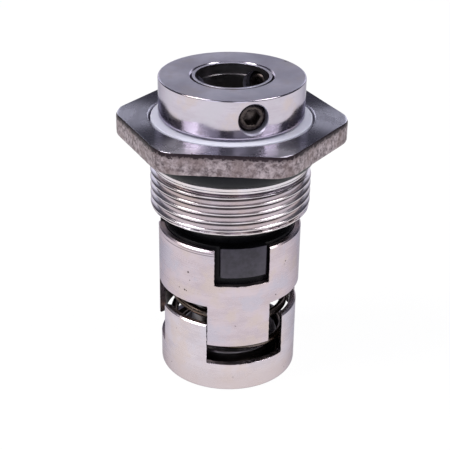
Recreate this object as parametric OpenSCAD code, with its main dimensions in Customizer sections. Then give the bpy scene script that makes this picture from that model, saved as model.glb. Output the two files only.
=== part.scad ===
// Cartridge seal for a pump shaft. A sleeve with a castellated drive cup and a clamping collar turns
// with the shaft. A sprung retainer and lugged seal ring slide on the sleeve and press against the
// seat in the hexagon carrier, which screws into the pump. Z runs along the shaft, base at zero.

/* [Shaft sleeve] */
// Diameter of the shaft that the sleeve slides on
shaft_d = 12; // [10:0.5:14]
// Wall of the sleeve
sleeve_wall = 0.75; // [0.6:0.05:1]
// Depth of the counterbore in the sleeve's top end
counterbore_depth = 1.93; // [1:0.1:2.2]
// Step of the counterbore
counterbore_step = 0.25; // [0.1:0.05:0.35]
// Inset of the sleeve's lower end in the drive cup
sleeve_inset = 0.3; // [0.1:0.1:0.6]
// Height of the boss that holds the shaft O-ring
boss_h = 4.6; // [4.2:0.1:5.4]
// Wall of the boss outside the O-ring groove
boss_wall = 0.9; // [0.6:0.1:1.2]

/* [Drive cup] */
// Outer diameter of the drive cup
cup_d = 24.7; // [24:0.1:27]
// Wall of the drive cup
cup_wall = 1.1; // [0.8:0.1:1.4]
// Thickness of the cup's floor
cup_floor = 1.5; // [1:0.1:2]
// Height of the closed ring under the cup's notches
cup_ring_h = 5.5; // [4.5:0.1:7]
// Height of the cup's three tabs
cup_tab_h = 7.75; // [7:0.25:10]
// Width of the cup's notches
cup_notch_w = 13.9; // [13:0.1:14.6]
// Rounding of the cup's lower edge
cup_edge_r = 0.6; // [0.2:0.1:1]

/* [Ring retainer] */
// Outer diameter of the ring retainer
retainer_d = 25.3; // [25:0.1:27]
// Wall of the ring retainer
retainer_wall = 1.1; // [0.8:0.1:1.4]
// Free travel between the retainer's tabs and the cup's notches
travel = 3.8; // [3:0.1:4.5]
// Spare gap above the cup's tabs beyond the travel
tab_spare = 0.2; // [0.1:0.1:0.6]
// Height of the closed band between the tabs and the lug notches
retainer_band_h = 4.3; // [4:0.1:6]
// Width of the gaps between the retainer's tabs
retainer_gap_w = 14.2; // [13.6:0.1:15]
// Depth of the lug notches in the retainer's rim
lug_notch_depth = 6.65; // [6:0.05:8]
// Width of the lug notches
lug_notch_w = 9.6; // [8.8:0.1:10.4]
// Thickness of the retainer's inner flange
flange_t = 1.2; // [0.8:0.1:1.5]
// Height of the flange's underside above the roots of the tabs
flange_lift = 1.8; // [1:0.1:2.2]
// Chamfer of the rims of the retainer and the cup
rim_chamfer = 0.25; // [0.1:0.05:0.35]

/* [Rotating seal ring] */
// Height of the ring's body above the flange
ring_body_h = 8.5; // [7.5:0.1:10]
// Height of the ring's raised sealing face
ring_nose_h = 1.4; // [1:0.1:2.5]
// Radial step from the ring's body to its sealing face
ring_nose_step = 1.45; // [0.8:0.05:2]
// Width of the ring's lugs
lug_w = 8.1; // [7:0.1:8.6]
// Height of the ring's lugs
lug_h = 5.7; // [4.5:0.1:5.8]
// Set-back of the lugs from the retainer's outer face
lug_inset = 0.3; // [0.1:0.1:0.6]
// Chamfer on the edges of the ring
ring_chamfer = 0.25; // [0.1:0.05:0.4]

/* [Stationary seat] */
// Height by which the seat stands out of the carrier
seat_stand = 1.85; // [1:0.05:2.5]
// Height of the seat's wide lower part
seat_head_h = 4.6; // [3.5:0.1:5.2]
// Height of the seat's neck, with the O-ring round it
seat_neck_h = 3.6; // [2.8:0.1:4.4]
// Outer diameter of the seat
seat_d = 22; // [21.5:0.1:22.6]
// Chamfer on the edges of the seat
seat_chamfer = 0.3; // [0.1:0.05:0.5]

/* [Hexagon carrier] */
// Width across the flats of the hexagon
hex_af = 35.7; // [34:0.1:38]
// Thickness of the hexagon plate
hex_t = 3.75; // [3:0.05:5]
// Rounding of the hexagon's corners
hex_corner_r = 5.2; // [3:0.1:7]
// Drop of the turned chamfer at the hexagon's corners
hex_chamfer_h = 0.5; // [0.3:0.05:0.8]
// Angle of the turned chamfer
hex_chamfer_angle = 30; // [20:1:45]
// Major diameter of the carrier's thread
thread_d = 28; // [27.5:0.5:30]
// Length of the threaded part
thread_l = 8.5; // [7:0.25:11]
// Rise of the thread from one crest to the next
thread_pitch = 1.5; // [1:0.25:2]
// Depth of the thread from its crests to its roots
thread_depth = 0.9; // [0.6:0.05:1.1]
// Chamfer at the thread's lower end
thread_chamfer = 0.6; // [0.3:0.05:1]
// Height of the lip above the thread's run-out groove
lip_h = 1.1; // [0.6:0.05:1.3]
// Inset of the lip from the thread's crests
lip_inset = 0.4; // [0:0.05:0.8]
// Chamfer of the lip above the thread
lip_chamfer = 0.15; // [0.05:0.05:0.4]
// Cord thickness of the carrier's O-ring
carrier_o_section = 3.8; // [3.2:0.1:3.8]
// Height of the O-ring groove under the hexagon
carrier_groove_h = 3.9; // [3.85:0.05:4.6]
// Wall of the carrier between its bore and the O-ring groove
carrier_neck_wall = 3.75; // [3:0.05:4]
// Depth of the turned relief in the hexagon's underside round the O-ring
seat_relief_h = 0.25; // [0.1:0.05:0.4]
// Radial gap between the carrier's bore and the sleeve
carrier_bore_gap = 0.65; // [0.4:0.05:0.9]

/* [Spacer washer] */
// Outer diameter of the white spacer washer
washer_d = 27.6; // [26.5:0.1:29]
// Thickness of the spacer washer
washer_t = 2.1; // [1.5:0.1:2.6]
// Radial gap between the washer and its pocket
washer_gap = 0.4; // [0.1:0.05:0.8]

/* [Clamping collar] */
// Outer diameter of the collar
collar_d = 25; // [23:0.1:26.5]
// Height of the collar
collar_h = 6.75; // [6:0.05:9]
// Height of the raised face under the collar
collar_step_h = 0.38; // [0.2:0.02:0.6]
// Set-back of the raised face from the collar's edge
collar_step_inset = 1.3; // [0.8:0.1:2]
// Chamfer of the collar's edges
collar_chamfer = 0.3; // [0.1:0.05:0.5]
// Chamfer at the top of the collar's bore
collar_bore_chamfer = 0.42; // [0.2:0.02:0.6]

/* [Set screws] */
// Diameter of the set screws
screw_d = 5; // [4:0.5:5]
// Length of a set screw
screw_l = 5; // [4.5:0.1:5.2]
// Depth of a set screw's outer end below the collar's face
screw_recess = 1; // [0.7:0.1:1.3]
// Width across the flats of the screw's socket
socket_af = 2.5; // [2:0.1:2.5]
// Depth of the screw's socket
socket_depth = 2.4; // [1.5:0.1:2.6]
// Chamfer of the screw's ends
screw_chamfer = 0.4; // [0.2:0.05:0.5]
// Countersink at the mouth of a screw hole
screw_sink = 0.15; // [0.05:0.05:0.3]

/* [Pressure spring] */
// Thickness of the spring wire
wire_d = 1.4; // [1.2:0.1:1.7]
// Rise of the spring in one free turn
spring_pitch = 5.5; // [4.5:0.1:6.5]
// Radial gap between the spring and the drive cup
spring_gap = 0.6; // [0.4:0.1:0.9]

/* [Small O-rings] */
// Cord thickness of the O-ring on the shaft
shaft_o_section = 2; // [1.8:0.1:2.2]
// Cord thickness of the O-ring in the rotating ring
ring_o_section = 2.1; // [1.8:0.1:2.2]
// Cord thickness of the O-ring round the seat
seat_o_section = 2; // [1.8:0.1:2.2]

/* [Turned positions] */
// Direction of the first set screw and the cup's first notch, from the front towards +X
rotor_turn = 20.2; // [0:0.1:60]
// Angle by which the retainer's tabs trail in the cup's notches
drive_lag = 7.8; // [0:0.1:7.8]
// Offset of the lug notches from the retainer's tabs
notch_turn = 2.1; // [-4:0.1:4]
// Angle of the lugs inside their notches
lug_turn = 1.2; // [-1.5:0.1:1.5]
// Direction in which the spring's lower turn starts to rise
spring_turn = 40.9; // [0:0.1:360]

/* [Hidden] */
$fn = 96;

// Equal divisions round the axis
repeats = 3;
step_angle = 360 / repeats;
// Direction of the front, which is -Y
front = -90;

// Clearances
seat_fit = 0.05;
slide_fit = 0.3;
thread_fit = 0.05;
overrun = 1;

// Sleeve
sleeve_ri = shaft_d / 2;
sleeve_ro = sleeve_ri + sleeve_wall;
shaft_groove_r = sleeve_ri + shaft_o_section + seat_fit;
boss_r = shaft_groove_r + boss_wall;
boss_chamfer = boss_wall / 3;
groove_play = 0.3;
shaft_groove_h = shaft_o_section + groove_play;
shaft_groove_z = cup_floor + (boss_h - shaft_groove_h) / 2;

// Heights from the base upwards
cup_top_z = cup_ring_h + cup_tab_h;
retainer_z = cup_ring_h + travel;
window_z = cup_top_z + travel + tab_spare;
notch_floor_z = window_z + retainer_band_h;
rim_z = notch_floor_z + lug_notch_depth;
flange_z = window_z + flange_lift;
ring_z = flange_z + flange_t;
ring_shoulder_z = ring_z + ring_body_h;
face_z = ring_shoulder_z + ring_nose_h;
carrier_z = face_z + seat_stand;
seat_shoulder_z = face_z + seat_head_h;
seat_top_z = seat_shoulder_z + seat_neck_h;
lip_z = carrier_z + thread_l;
hex_z = lip_z + carrier_groove_h;
hex_top_z = hex_z + hex_t;
washer_z = hex_top_z - washer_t;
collar_z = hex_top_z + collar_step_h;
top_z = collar_z + collar_h;
screw_z = collar_z + collar_h / 2;

// Radii
cup_ro = cup_d / 2;
cup_ri = cup_ro - cup_wall;
retainer_ro = retainer_d / 2;
retainer_ri = retainer_ro - retainer_wall;
flange_ri = sleeve_ro + slide_fit + ring_o_section / 8;
ring_ro = retainer_ri - seat_fit;
ring_ri = sleeve_ro + slide_fit;
nose_ro = ring_ro - ring_nose_step;
lug_ro = retainer_ro - lug_inset;
ring_groove_r = sleeve_ro + ring_o_section + 2 * seat_fit;
ring_groove_h = ring_o_section + groove_play;
seat_ro = seat_d / 2;
seat_ri = sleeve_ro + slide_fit;
seat_pocket_r = seat_ro + seat_fit;
seat_neck_r = seat_pocket_r - seat_o_section - 2 * seat_fit;
thread_r = thread_d / 2;
thread_root_r = thread_r - thread_depth;
thread_crest_h = thread_pitch / 8;
thread_root_h = thread_pitch / 4;
thread_flank_h = (thread_pitch - thread_crest_h - thread_root_h) / 2;
thread_grooves = floor((thread_l - thread_chamfer - lip_h - thread_crest_h - thread_flank_h) / thread_pitch);
lip_r = thread_r - lip_inset;
carrier_ri = sleeve_ro + carrier_bore_gap;
carrier_groove_r = carrier_ri + carrier_neck_wall;
seat_relief_r = carrier_groove_r + seat_fit + carrier_o_section + slide_fit;
washer_ro = washer_d / 2;
washer_ri = sleeve_ro + slide_fit;
washer_pocket_r = washer_ro + washer_gap;
collar_ro = collar_d / 2;
collar_ri = sleeve_ro + seat_fit;
hex_apothem = hex_af / 2;
hex_corner_reach = (hex_apothem - hex_corner_r) / cos(30) + hex_corner_r;
screw_r = screw_d / 2 - thread_fit;
screw_hole_r = screw_d / 2;
sleeve_hole_r = screw_hole_r + seat_fit;
screw_out_r = collar_ro - screw_recess;
screw_in_r = screw_out_r - screw_l;

// Spring
wire_r = wire_d / 2;
spring_r = cup_ri - spring_gap - wire_r;
spring_low_z = cup_floor + wire_r;
spring_high_z = flange_z - wire_r;
spring_turns = (spring_high_z - spring_low_z) / spring_pitch;
wire_sides = 10;
rings_per_turn = 30;

// Angles of the parts that follow the cup's notches
retainer_turn = rotor_turn - drive_lag;
lug_notch_turn = retainer_turn + notch_turn;
ring_turn = lug_notch_turn + lug_turn;

// Colours
brushed = [0.78, 0.74, 0.76];
machined = [0.58, 0.56, 0.60];
dull_steel = [0.53, 0.48, 0.51];
dark_steel = [0.22, 0.21, 0.22];
carbide = [0.20, 0.20, 0.23];
rubber = [0.08, 0.08, 0.09];
white = [0.82, 0.83, 0.88];

// Solid of revolution from points of radius and height
module turned(points) {
    rotate_extrude() polygon(points);
}

// Copies of a shape at equal angles, the first one at an angle from the front
module around(first) {
    for (i = [0 : repeats - 1])
        rotate([0, 0, front + first + i * step_angle])
            children();
}

// Slot with parallel flanks, cut from the axis outwards
module radial_slot(width, reach, low_z, high_z) {
    translate([0, -width / 2, low_z])
        cube([reach, width, high_z - low_z]);
}

// O-ring of a round cord
module o_ring(centre_r, section, z) {
    translate([0, 0, z])
        rotate_extrude()
            translate([centre_r, 0])
                circle(d = section);
}

module drive_cup() {
    color(brushed)
        difference() {
            union() {
                turned([
                    [sleeve_ro + seat_fit, 0],
                    [cup_ro - cup_edge_r, 0],
                    [cup_ro - cup_edge_r, cup_floor],
                    [sleeve_ro + seat_fit, cup_floor]
                ]);
                turned([
                    [cup_ri - cup_edge_r, 0],
                    [cup_ro - cup_edge_r, 0],
                    for (a = [front : 15 : 0])
                        [cup_ro - cup_edge_r + cup_edge_r * cos(a), cup_edge_r + cup_edge_r * sin(a)],
                    [cup_ro, cup_top_z - rim_chamfer],
                    [cup_ro - rim_chamfer, cup_top_z],
                    [cup_ri, cup_top_z],
                    [cup_ri, cup_floor],
                    [cup_ri - cup_edge_r, cup_floor]
                ]);
            }
            around(rotor_turn)
                radial_slot(cup_notch_w, cup_ro + overrun, cup_ring_h, cup_top_z + overrun);
        }
}

module shaft_sleeve() {
    color(machined)
        difference() {
            turned([
                [sleeve_ri, sleeve_inset],
                [sleeve_ro, sleeve_inset],
                [sleeve_ro, cup_floor],
                [boss_r - boss_chamfer, cup_floor],
                [boss_r, cup_floor + boss_chamfer],
                [boss_r, cup_floor + boss_h - boss_chamfer],
                [boss_r - boss_chamfer, cup_floor + boss_h],
                [sleeve_ro, cup_floor + boss_h],
                [sleeve_ro, top_z],
                [sleeve_ri + counterbore_step, top_z],
                [sleeve_ri + counterbore_step, top_z - counterbore_depth],
                [sleeve_ri, top_z - counterbore_depth]
            ]);
            translate([0, 0, shaft_groove_z])
                cylinder(h = shaft_groove_h, r = shaft_groove_r);
            around(rotor_turn)
                translate([0, 0, screw_z])
                    rotate([0, 90, 0])
                        cylinder(h = boss_r, r = sleeve_hole_r);
        }
}

module shaft_o_ring() {
    color(rubber)
        o_ring(sleeve_ri + seat_fit / 2 + shaft_o_section / 2, shaft_o_section, shaft_groove_z + shaft_groove_h / 2);
}

module clamp_collar() {
    color(brushed)
        difference() {
            turned([
                [collar_ri, hex_top_z],
                [collar_ro - collar_step_inset, hex_top_z],
                [collar_ro - collar_step_inset, collar_z],
                [collar_ro - collar_chamfer, collar_z],
                [collar_ro, collar_z + collar_chamfer],
                [collar_ro, top_z - collar_chamfer],
                [collar_ro - collar_chamfer, top_z],
                [collar_ri + collar_bore_chamfer, top_z],
                [collar_ri, top_z - collar_bore_chamfer]
            ]);
            around(rotor_turn)
                translate([0, 0, screw_z])
                    rotate([0, 90, 0]) {
                        cylinder(h = collar_ro + overrun, r = screw_hole_r);
                        translate([0, 0, collar_ro - 2 * screw_sink])
                            cylinder(h = 3 * screw_sink, r1 = screw_hole_r - screw_sink, r2 = screw_hole_r + 2 * screw_sink);
                    }
        }
}

// Set screw with a cup point, lying along a radius
module set_screw(index) {
    color(dark_steel)
        rotate([0, 0, front + rotor_turn + index * step_angle])
            translate([screw_in_r, 0, screw_z])
                rotate([0, 90, 0])
                    difference() {
                        turned([
                            [0, screw_chamfer],
                            [screw_r / 2, 0],
                            [screw_r - screw_chamfer, 0],
                            [screw_r, screw_chamfer],
                            [screw_r, screw_l - screw_chamfer],
                            [screw_r - screw_chamfer, screw_l],
                            [0, screw_l]
                        ]);
                        translate([0, 0, screw_l - socket_depth])
                            cylinder(h = socket_depth + overrun, r = socket_af / 2 / cos(30), $fn = 6);
                    }
}

// Round wire swept along a flat lower turn, a free helix and a flat upper turn
function wire_turns() = spring_turns + 2;
function wire_rise(turn) = min(max(turn - 1, 0), spring_turns) * spring_pitch;
function wire_angle(turn) = front + spring_turn - (turn - 1) * 360;
function wire_point(turn, side) =
    let (r = spring_r + wire_r * cos(side), a = wire_angle(turn))
        [r * cos(a), r * sin(a), spring_low_z + wire_rise(turn) + wire_r * sin(side)];

module pressure_spring() {
    rings = ceil(wire_turns() * rings_per_turn);
    points = [
        for (i = [0 : rings])
            for (j = [0 : wire_sides - 1])
                wire_point(i * wire_turns() / rings, j * 360 / wire_sides)
    ];
    walls = [
        for (i = [0 : rings - 1])
            for (j = [0 : wire_sides - 1])
                let (k = (j + 1) % wire_sides, a = i * wire_sides, b = a + wire_sides)
                    [a + j, a + k, b + k, b + j]
    ];
    ends = [
        [for (j = [wire_sides - 1 : -1 : 0]) j],
        [for (j = [0 : wire_sides - 1]) rings * wire_sides + j]
    ];
    color(machined)
        polyhedron(points = points, faces = concat(walls, ends));
}

module ring_retainer() {
    color(brushed)
        difference() {
            turned([
                [retainer_ri, retainer_z],
                [retainer_ro - rim_chamfer, retainer_z],
                [retainer_ro, retainer_z + rim_chamfer],
                [retainer_ro, rim_z - rim_chamfer],
                [retainer_ro - rim_chamfer, rim_z],
                [retainer_ri, rim_z],
                [retainer_ri, ring_z],
                [flange_ri, ring_z],
                [flange_ri, flange_z],
                [retainer_ri, flange_z]
            ]);
            around(retainer_turn + step_angle / 2)
                radial_slot(retainer_gap_w, retainer_ro + overrun, retainer_z - overrun, window_z);
            around(lug_notch_turn)
                radial_slot(lug_notch_w, retainer_ro + overrun, notch_floor_z, rim_z + overrun);
        }
}

module rotating_ring() {
    color(carbide) {
        difference() {
            union() {
                turned([
                    [0, ring_z],
                    [ring_ro - ring_chamfer, ring_z],
                    [ring_ro, ring_z + ring_chamfer],
                    [ring_ro, ring_shoulder_z - ring_chamfer],
                    [ring_ro - ring_chamfer, ring_shoulder_z],
                    [nose_ro, ring_shoulder_z],
                    [nose_ro, face_z - ring_chamfer],
                    [nose_ro - ring_chamfer, face_z],
                    [0, face_z]
                ]);
                intersection() {
                    turned([
                        [nose_ro, ring_shoulder_z - lug_h],
                        [lug_ro, ring_shoulder_z - lug_h],
                        [lug_ro, ring_shoulder_z - ring_chamfer],
                        [lug_ro - ring_chamfer, ring_shoulder_z],
                        [nose_ro, ring_shoulder_z]
                    ]);
                    around(ring_turn)
                        radial_slot(lug_w, lug_ro + overrun, ring_z, face_z);
                }
            }
            translate([0, 0, ring_z - overrun])
                cylinder(h = face_z - ring_z + 2 * overrun, r = ring_ri);
            translate([0, 0, ring_z - overrun])
                cylinder(h = ring_groove_h + overrun, r = ring_groove_r);
        }
    }
}

module ring_o_ring() {
    color(rubber)
        o_ring(sleeve_ro + seat_fit + ring_o_section / 2, ring_o_section, ring_z + ring_groove_h / 2);
}

// Outline of the hexagon with round corners, a flat towards the front
hex_corner_steps = 10;
function hex_outline() = [
    for (corner = [0 : 5])
        for (j = [0 : hex_corner_steps])
            let (
                a = corner * 60,
                b = a - 30 + j * 60 / hex_corner_steps,
                reach = (hex_apothem - hex_corner_r) / cos(30)
            )
                [reach * cos(a) + hex_corner_r * cos(b), reach * sin(a) + hex_corner_r * sin(b)]
];

module hex_plate() {
    chamfer_run = hex_chamfer_h / tan(hex_chamfer_angle);
    outside = hex_corner_reach + overrun;
    intersection() {
        translate([0, 0, hex_z])
            linear_extrude(hex_t)
                polygon(hex_outline());
        turned([
            [0, hex_z - overrun],
            [outside, hex_z - overrun],
            [outside, hex_top_z - hex_chamfer_h - overrun * tan(hex_chamfer_angle)],
            [hex_corner_reach - chamfer_run, hex_top_z],
            [0, hex_top_z]
        ]);
    }
}

// Outline of the thread as level rings, from its first crest to its last one at the run-out groove
function thread_outline() = [
    for (k = [0 : thread_grooves])
        let (z = carrier_z + thread_chamfer + k * thread_pitch)
            each [
                [thread_r, z],
                [thread_r, z + thread_crest_h],
                [thread_root_r, z + thread_crest_h + thread_flank_h],
                [thread_root_r, k < thread_grooves ? z + thread_pitch - thread_flank_h : lip_z - lip_h]
            ]
];

module seal_carrier() {
    color(dull_steel)
        difference() {
            union() {
                hex_plate();
                turned([
                    [0, carrier_z],
                    [thread_r - thread_chamfer, carrier_z],
                    each thread_outline(),
                    [lip_r, lip_z - lip_h],
                    [lip_r, lip_z - lip_chamfer],
                    [lip_r - lip_chamfer, lip_z],
                    [carrier_groove_r, lip_z],
                    [carrier_groove_r, hex_z + hex_t / 2],
                    [0, hex_z + hex_t / 2]
                ]);
            }
            translate([0, 0, carrier_z - overrun])
                cylinder(h = hex_top_z - carrier_z + 2 * overrun, r = carrier_ri);
            translate([0, 0, carrier_z - overrun])
                cylinder(h = seat_top_z - carrier_z + overrun, r = seat_pocket_r);
            difference() {
                translate([0, 0, hex_z - overrun])
                    cylinder(h = seat_relief_h + overrun, r = seat_relief_r);
                translate([0, 0, hex_z - 2 * overrun])
                    cylinder(h = seat_relief_h + 3 * overrun, r = carrier_groove_r);
            }
            translate([0, 0, washer_z])
                cylinder(h = washer_t + overrun, r = washer_pocket_r);
        }
}

module carrier_o_ring() {
    color(rubber)
        o_ring(carrier_groove_r + seat_fit + carrier_o_section / 2, carrier_o_section, lip_z + carrier_o_section / 2);
}

module stationary_seat() {
    color(carbide)
        turned([
            [seat_ri, face_z],
            [seat_ro - seat_chamfer, face_z],
            [seat_ro, face_z + seat_chamfer],
            [seat_ro, seat_shoulder_z - seat_chamfer],
            [seat_ro - seat_chamfer, seat_shoulder_z],
            [seat_neck_r, seat_shoulder_z],
            [seat_neck_r, seat_top_z - seat_chamfer],
            [seat_neck_r - seat_chamfer, seat_top_z],
            [seat_ri, seat_top_z]
        ]);
}

module seat_o_ring() {
    color(rubber)
        o_ring(
            (seat_neck_r + seat_pocket_r) / 2,
            seat_o_section,
            seat_shoulder_z + seat_o_section / 2 + seat_fit
        );
}

module spacer_washer() {
    color(white)
        turned([
            [washer_ri, washer_z],
            [washer_ro, washer_z],
            [washer_ro, hex_top_z],
            [washer_ri, hex_top_z]
        ]);
}

drive_cup();
shaft_sleeve();
shaft_o_ring();
clamp_collar();
set_screw(0);  // set_screw_1
set_screw(1);  // set_screw_2
set_screw(2);  // set_screw_3
pressure_spring();
ring_retainer();
rotating_ring();
ring_o_ring();
seal_carrier();
carrier_o_ring();
stationary_seat();
seat_o_ring();
spacer_washer();
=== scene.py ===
import math

import bpy
from mathutils import Matrix, Vector, noise


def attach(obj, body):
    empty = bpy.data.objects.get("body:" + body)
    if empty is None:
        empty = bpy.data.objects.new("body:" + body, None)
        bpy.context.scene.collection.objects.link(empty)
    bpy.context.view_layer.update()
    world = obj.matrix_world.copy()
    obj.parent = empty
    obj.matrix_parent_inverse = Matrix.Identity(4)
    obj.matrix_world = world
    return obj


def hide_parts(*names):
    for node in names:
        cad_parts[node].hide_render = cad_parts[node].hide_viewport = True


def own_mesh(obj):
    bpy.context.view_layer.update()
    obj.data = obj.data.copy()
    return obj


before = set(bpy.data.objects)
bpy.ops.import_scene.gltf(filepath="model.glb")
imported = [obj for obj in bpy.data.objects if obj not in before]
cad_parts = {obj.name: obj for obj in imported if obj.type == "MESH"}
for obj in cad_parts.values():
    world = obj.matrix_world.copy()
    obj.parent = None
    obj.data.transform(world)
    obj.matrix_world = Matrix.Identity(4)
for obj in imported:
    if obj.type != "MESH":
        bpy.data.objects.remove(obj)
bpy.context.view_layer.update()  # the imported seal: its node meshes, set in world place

mm = 0.001
turn = 2 * math.pi
third = turn / 3
front = -math.pi / 2  # the direction of -Y, where the camera stands
sharpAngle = 32  # degrees past which an edge stays sharp
cornerLimits = {"least": 0.005, "share": 0.45, "support": 1.6, "supportShare": 0.49}  # for roundings


# Points and meshes

def polar(radius, angle, height):
    return (radius * math.cos(angle), radius * math.sin(angle), height)


def evenAngles(count):
    return [turn * k / count for k in range(count)]


def evenSteps(low, high, count):  # count + 1 values from low to high
    return [low + (high - low) * k / count for k in range(count + 1)]


def speckle(x, y, z):  # smooth repeatable noise from -1 to 1
    return noise.noise(Vector((x, y, z)))


def smoothed(mesh, angle=sharpAngle):
    mesh.shade_smooth()
    mesh.set_sharp_from_angle(angle=math.radians(angle))
    return mesh


class MeshDraft:  # gathers points in millimetres and faces, then makes the Blender mesh

    def __init__(self):
        self.points = []
        self.faces = []
        self.finishes = []

    def row(self, points):
        start = len(self.points)
        self.points += points
        return list(range(start, len(self.points)))

    def ring(self, radius, height, angles):
        return self.row([polar(radius, a, height) for a in angles])

    def face(self, corners, finish=0):
        self.faces.append(corners)
        self.finishes.append(finish)

    def strip(self, low, high, finish=0, keep=None, inward=False):
        # quads between two rows that close on themselves
        count = len(low)
        for j in range(count):
            if keep and not keep(j):
                continue
            k = (j + 1) % count
            quad = [low[j], low[k], high[k], high[j]]
            self.face(quad[::-1] if inward else quad, finish)

    def stack(self, rows, finish=0, inward=False):
        for low, high in zip(rows, rows[1:]):
            self.strip(low, high, finish, inward=inward)

    def closedStack(self, rows):  # a stack with a cap at each end
        self.stack(rows)
        self.face(rows[0][::-1])
        self.face(rows[-1])

    def place(self, matrix):
        self.points = [tuple(matrix @ Vector(point)) for point in self.points]

    def mesh(self, name, finishes):
        mesh = bpy.data.meshes.new(name)
        mesh.from_pydata([(x * mm, y * mm, z * mm) for x, y, z in self.points], [], self.faces)
        for finish in finishes:
            mesh.materials.append(finish)
        mesh.polygons.foreach_set("material_index", self.finishes)
        smoothed(mesh)
        mesh.validate()
        return mesh


def roundedProfile(corners, rounding, steps):
    # corners are (radius, height) or (radius, height, rounding), in order round a closed section
    path = []
    for i, corner in enumerate(corners):
        here = Vector(corner[:2])
        sides = [Vector(corners[i - 1][:2]) - here, Vector(corners[(i + 1) % len(corners)][:2]) - here]
        size = corner[2] if len(corner) > 2 else rounding
        reach = min(size, *[cornerLimits["share"] * side.length for side in sides])
        if reach < cornerLimits["least"]:
            path.append(tuple(here))
            continue
        far = [min(cornerLimits["support"] * reach, cornerLimits["supportShare"] * side.length) for side in sides]
        start, end = [here + side.normalized() * reach for side in sides]
        path.append(tuple(here + sides[0].normalized() * far[0]))  # keeps the flat beside the rounding flat
        for k in range(steps + 1):
            t = k / steps
            path.append(tuple(start * (1 - t) ** 2 + here * 2 * t * (1 - t) + end * t * t))
        path.append(tuple(here + sides[1].normalized() * far[1]))
    return path


def latheDraft(corners, rounding, around=192, steps=3):
    draft = MeshDraft()
    angles = evenAngles(around)
    rows = [draft.ring(r, z, angles) for r, z in roundedProfile(corners, rounding, steps)]
    draft.stack(rows + rows[:1])
    return draft


def discDraft(path, around):  # closed solid from (radius, height) up its outside
    draft = MeshDraft()
    angles = evenAngles(around)
    draft.closedStack([draft.ring(r, z, angles) for r, z in path])
    return draft


def radialPlace(angle, height):  # lays a solid made round Z so that its Z points outwards at that angle
    lay = Matrix.Rotation(angle, 4, "Z") @ Matrix.Rotation(math.pi / 2, 4, "Y")
    return Matrix.Translation((0, 0, height)) @ lay


def looseObject(name, mesh):
    piece = bpy.data.objects.new(name, mesh)
    bpy.context.scene.collection.objects.link(piece)
    return piece


def addPiece(name, mesh, body, node):
    piece = looseObject(name, mesh)
    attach(piece, body)
    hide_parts(node)
    return piece


def freeze(source, name):  # what the modifiers make, as a plain mesh
    bpy.context.view_layer.update()
    graph = bpy.context.evaluated_depsgraph_get()
    mesh = bpy.data.meshes.new_from_object(source.evaluated_get(graph), depsgraph=graph)
    mesh.name = name
    bpy.data.objects.remove(source)
    return mesh


def combine(piece, others, operation, name):  # joins or cuts solids and keeps a plain mesh
    for other in others:
        step = piece.modifiers.new(other.name, "BOOLEAN")
        step.object = other
        step.operation = operation
        step.solver = "EXACT"
    mesh = freeze(piece, name)
    for other in others:
        bpy.data.objects.remove(other)
    return smoothed(mesh)


# Node trees

class NodeBench:  # adds nodes to a tree, linking an input where it is given a socket

    def __init__(self, tree):
        self.tree = tree

    def feed(self, node, key, value):
        socket = node.inputs[key]
        if isinstance(value, bpy.types.NodeSocket):
            self.tree.links.new(value, socket)
        elif socket.type == "RGBA" and len(value) == 3:
            socket.default_value = (*value, 1)
        else:
            socket.default_value = value

    def add(self, kind, inputs=None, **settings):
        node = self.tree.nodes.new(kind)
        for key, value in settings.items():
            setattr(node, key, value)
        for key, value in (inputs or {}).items():
            self.feed(node, key, value)
        return node

    def math(self, operation, a, b=0.0):
        return self.add("ShaderNodeMath", {0: a, 1: b}, operation=operation).outputs[0]

    def ramp(self, value, low, high, toLow=0.0, toHigh=1.0):
        return self.add("ShaderNodeMapRange", {
            "Value": value, "From Min": low, "From Max": high, "To Min": toLow, "To Max": toHigh,
        }, interpolation_type="SMOOTHSTEP").outputs[0]

    def mix(self, share, a, b):
        return self.add("ShaderNodeMix", {0: share, 6: a, 7: b}, data_type="RGBA").outputs[2]

    def noise(self, coords, scale, detail, roughness):
        return self.add("ShaderNodeTexNoise", {
            "Vector": coords, "Scale": scale, "Detail": detail, "Roughness": roughness,
        }).outputs[0]

    def stretched(self, coords, scale):  # coordinates scaled along each axis
        return self.add("ShaderNodeMapping", {"Vector": coords, "Scale": scale}).outputs[0]

    def parts(self, vector):  # its three coordinates
        return list(self.add("ShaderNodeSeparateXYZ", {0: vector}).outputs)

    def polarPoint(self, radius, angle, height):
        x = self.math("MULTIPLY", radius, self.math("COSINE", angle))
        y = self.math("MULTIPLY", radius, self.math("SINE", angle))
        return self.add("ShaderNodeCombineXYZ", {0: x, 1: y, 2: height}).outputs[0]

    def dress(self, shader, tone, rough, metallic, relief, strength, depth):  # links a finish to its shader
        bump = self.add("ShaderNodeBump", {"Height": relief, "Strength": strength, "Distance": depth}).outputs[0]
        for key, value in (("Base Color", tone), ("Roughness", rough), ("Metallic", metallic), ("Normal", bump)):
            self.feed(shader, key, value)


def makeMaterial(name):
    material = bpy.data.materials.new(name)
    material.use_nodes = True
    bench = NodeBench(material.node_tree)
    shader = material.node_tree.nodes["Principled BSDF"]
    coords = bench.add("ShaderNodeTexCoord").outputs["Object"]
    return material, bench, shader, coords


def geometryTree(name, lengths, counts):  # a Geometry Nodes tree with named inputs
    tree = bpy.data.node_groups.new(name, "GeometryNodeTree")
    sockets = [("Geometry", "Geometry"), *[(label, "Float") for label in lengths]]
    sockets += [*[(label, "Int") for label in counts], ("Finish", "Material")]
    for label, kind in sockets:
        tree.interface.new_socket(label, in_out="INPUT", socket_type="NodeSocket" + kind)
    tree.interface.new_socket("Geometry", in_out="OUTPUT", socket_type="NodeSocketGeometry")
    bench = NodeBench(tree)
    return tree, bench, bench.add("NodeGroupInput").outputs


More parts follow.
